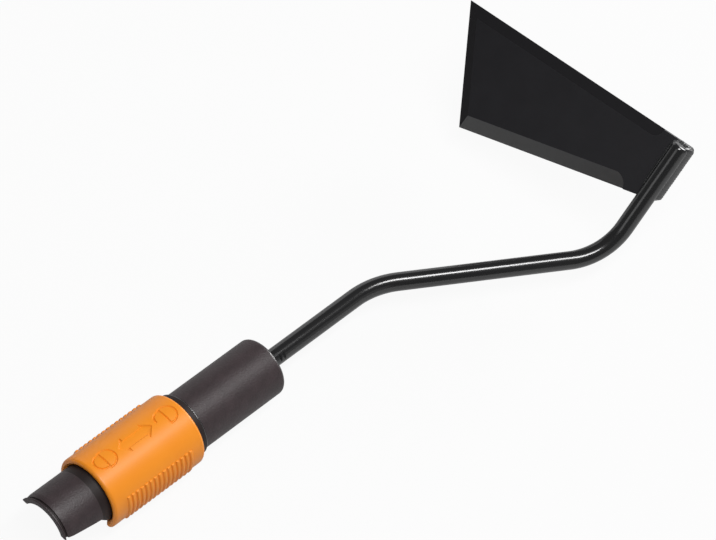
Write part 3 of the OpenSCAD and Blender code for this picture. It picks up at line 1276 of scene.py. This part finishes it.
@dataclass
class Blade:
    """Four-sided plate under the rod's foot, ground on three edges."""

    rod: NeckRod
    thickness: float = 2.5
    edge_t: float = 0.5
    heel_len: float = 35.1
    heel_reach: float = 1.3
    front_span: float = 149.3
    front_sweep: float = 15.8
    back_span: float = 113.4
    back_sweep: float = 40.0
    heel_round: float = 4.0
    heel_front_round: float = 2.0
    heel_steps: int = 10
    grind_front: float = 6.0
    grind_end: float = 5.6
    grind_back: float = 8.0
    grind_clear: float = 15.0
    run_out_steps: int = 14
    # Rise of the normals that tells a ground band from the face and from the edges
    ground_least: float = 0.93
    ground_most: float = 0.99
    edge_break: float = 0.16
    edge_angle: float = 30.0
    # Less than the bands' slopes, so that they stay crisp
    smooth_to: float = 12.0
    overrun: float = 1.0

    @property
    def top(self) -> float:
        """Height of the upper face, just under the rod."""
        return -self.rod.layout.rod_r - self.rod.layout.fit_gap

    @property
    def bottom(self) -> float:
        """Height of the lower face."""
        return self.top - self.thickness

    @property
    def heel_front(self) -> Vector:
        """Front corner of the heel."""
        return Vector((self.rod.foot_len + self.heel_reach, -self.rod.layout.rod_r))

    @property
    def heel_back(self) -> Vector:
        """Back corner of the heel."""
        return self.heel_front - Vector((self.heel_len, 0.0))

    @property
    def front_corner(self) -> Vector:
        """Far corner at the front."""
        return Vector((self.heel_front.x - self.front_sweep, self.front_span))

    @property
    def back_corner(self) -> Vector:
        """Far corner at the back."""
        return Vector((self.heel_back.x - self.back_sweep, self.back_span))

    def clear_of_rod(self, heel: Vector, far: Vector) -> Vector:
        """Point on an edge where its ground band ends, clear of the rod."""
        return heel + (far - heel) * (self.grind_clear - heel.y) / (far.y - heel.y)

    def grind(self, start: Vector, end: Vector, width: float, run_out: RunOut) -> Piece:
        """Model the wedge that grinds one edge.

        Args:
            start: Start of the edge; the blade lies on its left.
            end: End of the edge.
            width: Width of the ground band.
            run_out: End that runs out round.

        Returns:
            The cutter.
        """
        length, over = (end - start).length, width + self.overrun
        rise = (self.thickness - self.edge_t) / width
        high, reach = self.top + self.overrun, width + self.overrun / rise
        wedge = [
            (-over, -self.overrun, self.bottom + self.edge_t - rise * self.overrun),
            (-over, reach, high),
            (-over, -self.overrun, high),
        ]
        cutter = prism("grind", wedge, (length + 2 * over, 0.0, 0.0))
        if run_out is not RunOut.NEITHER:
            far = reach + self.overrun
            if run_out is RunOut.START:
                first, last = 0.0, length + over
                inner = [Corner(last, far), Corner(first, width, width)]
            else:
                first, last = -over, length
                inner = [Corner(last, width, width), Corner(first, far)]
            corners = [Corner(first, -over), Corner(last, -over), *inner]
            outline = outline_at(self.bottom - self.overrun, corners, self.run_out_steps)
            stay = prism("run_out", outline, (0.0, 0.0, self.thickness + 3 * self.overrun))
            carve(cutter, stay, "INTERSECT")
        turn = math.atan2(end.y - start.y, end.x - start.x)
        place(cutter, Matrix.Translation(metres((*start, 0.0))) @ Matrix.Rotation(turn, 4, "Z"))
        return cutter

    def build(self, face: Material, back_band: Material, other_bands: Material) -> None:
        """Model and dress the blade.

        Args:
            face: Finish of its faces.
            back_band: Finish of the ground band along the back edge, lighter as painted sheen.
            other_bands: Finish of the ground bands at the end and the front, darker as painted shade.
        """
        corners = [
            Corner(*self.front_corner),
            Corner(*self.back_corner),
            Corner(*self.heel_back, self.heel_round),
            Corner(*self.heel_front, self.heel_front_round),
        ]
        outline = outline_at(self.bottom, corners, self.heel_steps)
        plate = prism("blade_plate", outline, (0.0, 0.0, self.thickness))
        ease_edges(plate, self.edge_break, self.edge_angle)
        front_stop = self.clear_of_rod(self.heel_front, self.front_corner)
        back_stop = self.clear_of_rod(self.heel_back, self.back_corner)
        carve(plate, self.grind(front_stop, self.front_corner, self.grind_front, RunOut.START))
        carve(plate, self.grind(self.front_corner, self.back_corner, self.grind_end, RunOut.NEITHER))
        carve(plate, self.grind(self.back_corner, back_stop, self.grind_back, RunOut.END))
        # Index 1 paints sheen on the back band with lighter enamel; index 2 paints shade on the other bands
        # with darker enamel
        for facet in plate.data.polygons:
            if self.ground_least < facet.normal.z < self.ground_most:
                facet.material_index = 1 if facet.normal.y < 0.0 else 2
        place(plate, self.rod.foot_frame())
        smooth(plate, self.smooth_to)
        fit_piece(plate, Body.HEAD, "blade", [face, back_band, other_bands])


@dataclass
class WeldBead:
    """Fillet weld: a bead of overlapping ripples, laid from start to end on the blade's face."""

    name: str
    node: str
    start: Vector
    end: Vector
    radius: float
    rod: NeckRod
    face_z: float
    # How many times as tall as wide it is, and how far it leans on the bar, in degrees
    stretch: float = 1.0
    lean: float = 0.0
    segments: int = 20
    smooth_to: float = 60.0
    step: float = 0.3
    ripple_mm: float = 1.5
    ripple_depth: float = 0.05
    lump_mm: float = 2.6
    lump_depth: float = 0.2
    root: float = 0.8
    # Square of the share of its radius that the very end keeps
    blunt: float = 0.03

    def radius_at(self, along: float, length: float) -> float:
        """Find the radius at a place along the bead, which is round at both ends and rippled between.

        Args:
            along: The place.
            length: Length of the bead.

        Returns:
            The radius there.
        """
        inset = max(0.0, self.radius - along, self.radius + along - length)
        round_end = math.sqrt(max(self.blunt, 1.0 - (inset / self.radius) ** 2))
        ripple = 1.0 - self.ripple_depth * abs(math.sin(math.pi * along / self.ripple_mm))
        return self.radius * round_end * ripple

    def roughen(self, bead: Piece) -> None:
        """Push the bead's surface in and out where the metal ran unevenly.

        Args:
            bead: The bead.
        """
        lumps = bpy.data.textures.new(f"{self.name}_lumps", "CLOUDS")
        lumps.noise_scale = mm(self.lump_mm)
        apply_modifier(bead, "DISPLACE", texture=lumps, strength=mm(self.lump_depth), texture_coords="LOCAL")

    def build(self, finish: Material) -> None:
        """Model and dress the bead.

        Args:
            finish: Its finish.
        """
        path = self.end - self.start
        length = path.length + 2 * self.radius
        ahead = path.normalized() if path.length else X_AXIS
        first = self.start - ahead * self.radius
        count = round(length / self.step)
        bead = disc(self.name, self.radius_at(0.0, length), self.segments, first, ahead)
        for i in range(count):
            here, there = length * i / count, length * (i + 1) / count
            extrude(ahead * (there - here))
            grow = self.radius_at(there, length) / self.radius_at(here, length)
            bpy.ops.transform.resize(value=(grow,) * 3, center_override=metres(first + ahead * there))
        mend()
        middle = Matrix.Translation(metres(self.start))
        leant = Matrix.Rotation(math.radians(-self.lean), 4, "X") @ Matrix.Scale(self.stretch, 4, Z_AXIS)
        place(bead, middle @ leant @ middle.inverted())
        bpy.ops.object.mode_set(mode="EDIT")
        bpy.ops.mesh.select_all(action="SELECT")
        root_at = metres((0.0, 0.0, self.face_z - self.root))
        bpy.ops.mesh.bisect(plane_co=root_at, plane_no=Z_AXIS, use_fill=True, clear_inner=True)
        self.roughen(bead)
        place(bead, self.rod.foot_frame())
        smooth(bead, self.smooth_to)
        fit_piece(bead, Body.HEAD, self.node, [finish])


@dataclass
class Welds:
    """The three beads that hold the rod's foot on the blade."""

    rod: NeckRod
    blade: Blade
    inner_r: float = 3.0
    outer_r: float = 2.0
    outer_stretch: float = 2.5
    outer_lean: float = 18.0
    end_r: float = 2.2
    inner_share: float = 0.95
    outer_share: float = 0.74
    outer_lift: float = 2.65
    end_share: float = 0.5
    inner_inset: float = 5.0
    outer_inset: float = 2.8

    def build(self, finish: Material) -> None:
        """Model and dress the beads.

        Args:
            finish: Their finish.
        """
        rod_r, face, back = self.rod.layout.rod_r, self.blade.top, self.blade.heel_back.x
        tip = self.rod.foot_len - self.rod.end_round * self.end_share
        half = rod_r * self.end_share
        inner_x, outer_x = back + self.inner_inset, back + self.outer_inset
        inner_y, outer_y = rod_r * self.inner_share, -rod_r * self.outer_share
        outer_z = face + self.outer_lift
        beads = {
            "inner": ((inner_x, inner_y, face), (tip - self.end_r, inner_y, face), self.inner_r),
            "outer": ((outer_x, outer_y, outer_z), (tip, outer_y, outer_z), self.outer_r),
            "end": ((tip, -half, face), (tip, half, face), self.end_r),
        }
        for side, (start, end, radius) in beads.items():
            ends = Vector(start), Vector(end)
            bead = WeldBead(f"{side}_bead", f"{side}_weld", *ends, radius, self.rod, face)
            if side == "outer":
                bead.stretch, bead.lean = self.outer_stretch, self.outer_lean
            bead.build(finish)


# Studio


class Lamp(Enum):
    """Soft lamps of the studio, named for where they stand."""

    OVERHEAD = "overhead"
    RIGHT = "right"
    LEFT = "left"
    BACK = "back"
    FRONT = "front"


@dataclass(frozen=True)
class Softbox:
    """Rectangular lamp that faces the object.

    Attributes:
        towards: Direction from the object's middle to the lamp.
        along: Direction that its length runs in.
        length: Its length.
        height: Its height.
        glow: How bright its cloth looks, where 1 is white.
        distance: How far it stands.
    """

    towards: tuple[float, float, float]
    along: Vector
    length: float
    height: float
    glow: float
    distance: float = 1500.0

    def hang(self, lamp: Lamp, middle: Vector) -> None:
        """Add the lamp, facing the object.

        Args:
            lamp: Which lamp it is.
            middle: The object's middle, in metres.
        """
        begin()
        out = Vector(self.towards).normalized()
        side = (self.along - out * self.along.dot(out)).normalized()
        bpy.ops.object.light_add(type="AREA")
        light = bpy.context.object
        light.name = f"softbox_{lamp.value}"
        turned_to = Matrix((side, out.cross(side), out)).transposed().to_4x4()
        light.matrix_world = Matrix.Translation(middle + out * mm(self.distance)) @ turned_to
        light.visible_camera = False
        light.data.shape = "RECTANGLE"
        light.data.size, light.data.size_y = mm(self.length), mm(self.height)
        # An area lamp's cloth is as bright as a quarter of its power over its area
        light.data.energy = 4.0 * self.glow * mm(self.length) * mm(self.height)


@dataclass
class Studio:
    """Pale floor, soft lamps, even sky and the camera at the photograph's angle."""

    floor_size: float = 14000.0
    floor_colour: str = "#BEBEBE"
    fibre_colour: str = "#C6C6C6"
    fibre_mm: float = 60.0
    shadow_share: float = 0.07
    # How much of the white shows in gloss; the rest is the paper as it is lit, with the object's shadow
    mirrored_share: float = 0.15
    sky: float = 0.13
    target: tuple[float, float, float] = (235.7, 11.8, 0.0)
    camera_at: tuple[float, float, float] = (-826.087, -735.680, 1679.767)
    camera_right: tuple[float, float, float] = (0.69891, -0.70353, 0.12871)
    camera_up: tuple[float, float, float] = (0.5113, 0.61732, 0.59791)
    lens: float = 202.73
    sensor: float = 36.0
    lamps: dict[Lamp, Softbox] = field(
        default_factory=lambda: {
            Lamp.OVERHEAD: Softbox((-0.03, -0.28, 0.96), X_AXIS, 1260.0, 270.0, 15.0),
            Lamp.RIGHT: Softbox((0.5, -0.84, 0.2), X_AXIS, 2000.0, 700.0, 0.15),
            Lamp.LEFT: Softbox((0.5, 0.82, 0.22), X_AXIS, 1200.0, 700.0, 0.55),
            Lamp.BACK: Softbox((0.95, -0.06, 0.3), Y_AXIS, 600.0, 450.0, 14.0),
            Lamp.FRONT: Softbox((-0.92, 0.02, 0.39), Y_AXIS, 650.0, 500.0, 0.8),
        }
    )

    def lay_floor(self, height: float) -> None:
        """Lay the floor, which reads as white and keeps the object's shadow.

        Args:
            height: Height of the floor, in metres.
        """
        begin()
        bpy.ops.mesh.primitive_plane_add(size=mm(self.floor_size), location=(*metres(self.target).xy, height))
        floor = named(bpy.context.object, "studio_floor")
        bpy.ops.object.transform_apply(location=True, rotation=True, scale=True)
        material, tree, where = blank_material("matt_paper")
        fibre = add_node(tree, "ShaderNodeTexNoise", {}, {"Vector": where, "Scale": per_mm(self.fibre_mm)})
        tones = {MIX_FROM: linear(self.floor_colour), MIX_TO: linear(self.fibre_colour)}
        colour = add_node(tree, "ShaderNodeMix", {"data_type": "RGBA"}, {0: fibre.outputs["Fac"], **tones})
        paper = add_node(tree, "ShaderNodeBsdfDiffuse", {}, {"Color": colour.outputs[MIX_OUT]})
        white = add_node(tree, "ShaderNodeEmission", {}, {"Strength": 1.0})
        path = add_node(tree, "ShaderNodeLightPath", {}, {})
        times, most = {"operation": "MULTIPLY"}, {"operation": "MAXIMUM"}
        glossy = {0: path.outputs["Is Glossy Ray"], 1: self.mirrored_share}
        mirrored = add_node(tree, "ShaderNodeMath", times, glossy)
        seen = path.outputs["Is Camera Ray"]
        for ray in (mirrored.outputs[0], path.outputs["Is Transmission Ray"]):
            seen = add_node(tree, "ShaderNodeMath", most, {0: seen, 1: ray}).outputs[0]
        share = add_node(tree, "ShaderNodeMath", times, {0: seen, 1: 1.0 - self.shadow_share})
        parts = {0: share.outputs[0], 1: paper.outputs[0], 2: white.outputs[0]}
        mix = add_node(tree, "ShaderNodeMixShader", {}, parts)
        add_node(tree, "ShaderNodeOutputMaterial", {}, {"Surface": mix.outputs[0]})
        floor.data.materials.append(material)

    def light(self, middle: Vector) -> None:
        """Hang the lamps and set the even sky, which itself is seen as white.

        Args:
            middle: The object's middle, in metres.
        """
        for lamp, softbox in self.lamps.items():
            softbox.hang(lamp, middle)
        world = bpy.data.worlds.new("even_sky")
        world.use_nodes = True
        tree = world.node_tree
        tree.nodes.clear()
        seen = add_node(tree, "ShaderNodeLightPath", {}, {}).outputs["Is Camera Ray"]
        strength = add_node(tree, "ShaderNodeMath", {"operation": "MAXIMUM"}, {0: seen, 1: self.sky})
        glow = {"Color": linear("#FFFFFF"), "Strength": strength.outputs[0]}
        sky = add_node(tree, "ShaderNodeBackground", {}, glow)
        add_node(tree, "ShaderNodeOutputWorld", {}, {"Surface": sky.outputs[0]})
        bpy.context.scene.world = world

    def aim_camera(self) -> None:
        """Set the camera at the photograph's angle."""
        begin()
        bpy.ops.object.camera_add()
        camera = bpy.context.object
        camera.name = "photo_camera"
        camera.data.lens, camera.data.sensor_width = self.lens, self.sensor
        camera.data.sensor_fit = "HORIZONTAL"
        right, up = Vector(self.camera_right).normalized(), Vector(self.camera_up).normalized()
        axes = Matrix((right, up, right.cross(up))).transposed().to_4x4()
        camera.matrix_world = Matrix.Translation(metres(self.camera_at)) @ axes
        bpy.context.scene.camera = camera

    def build(self, height: float, middle: Vector) -> None:
        """Set up the studio round the object.

        Args:
            height: Height that the object stands at, in metres.
            middle: The object's middle, in metres.
        """
        self.aim_camera()
        self.lay_floor(height)
        self.light(middle)
        bpy.context.scene.view_settings.view_transform = "Standard"


def main() -> None:
    """Set up the studio, then build the head in it piece by piece."""
    logging.basicConfig(level=logging.INFO, format="%(name)s: %(message)s")
    layout = Layout()
    nylon, polished = GLASS_FILLED_NYLON.material(), POLISHED_NYLON.material()
    Studio().build(CAD_BOX[0].z, (CAD_BOX[0] + CAD_BOX[1]) / 2)
    CouplingCore(layout).build(nylon, NYLON_WITH_PAINTED_SHADE.material(), polished)
    Barrel(layout).build(nylon, polished)
    LockingSleeve(layout).build(ORANGE_POLYPROPYLENE.material())
    rod = NeckRod(layout)
    rod.build(GLOSS_ENAMEL.material())
    blade = Blade(rod)
    blade.build(SATIN_ENAMEL.material(), BACK_BAND_ENAMEL_WITH_PAINTED_SHEEN.material(), OTHER_BANDS_ENAMEL_WITH_PAINTED_SHADE.material())
    Welds(rod, blade).build(WELD_ENAMEL.material())
    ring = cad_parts["detent_ring"]
    ring.material_slots[0].material = SpringSteel().material()
    LOG.info("%s: the frame's own shape", ring.name)
    begin()


if __name__ == "__main__":
    main()
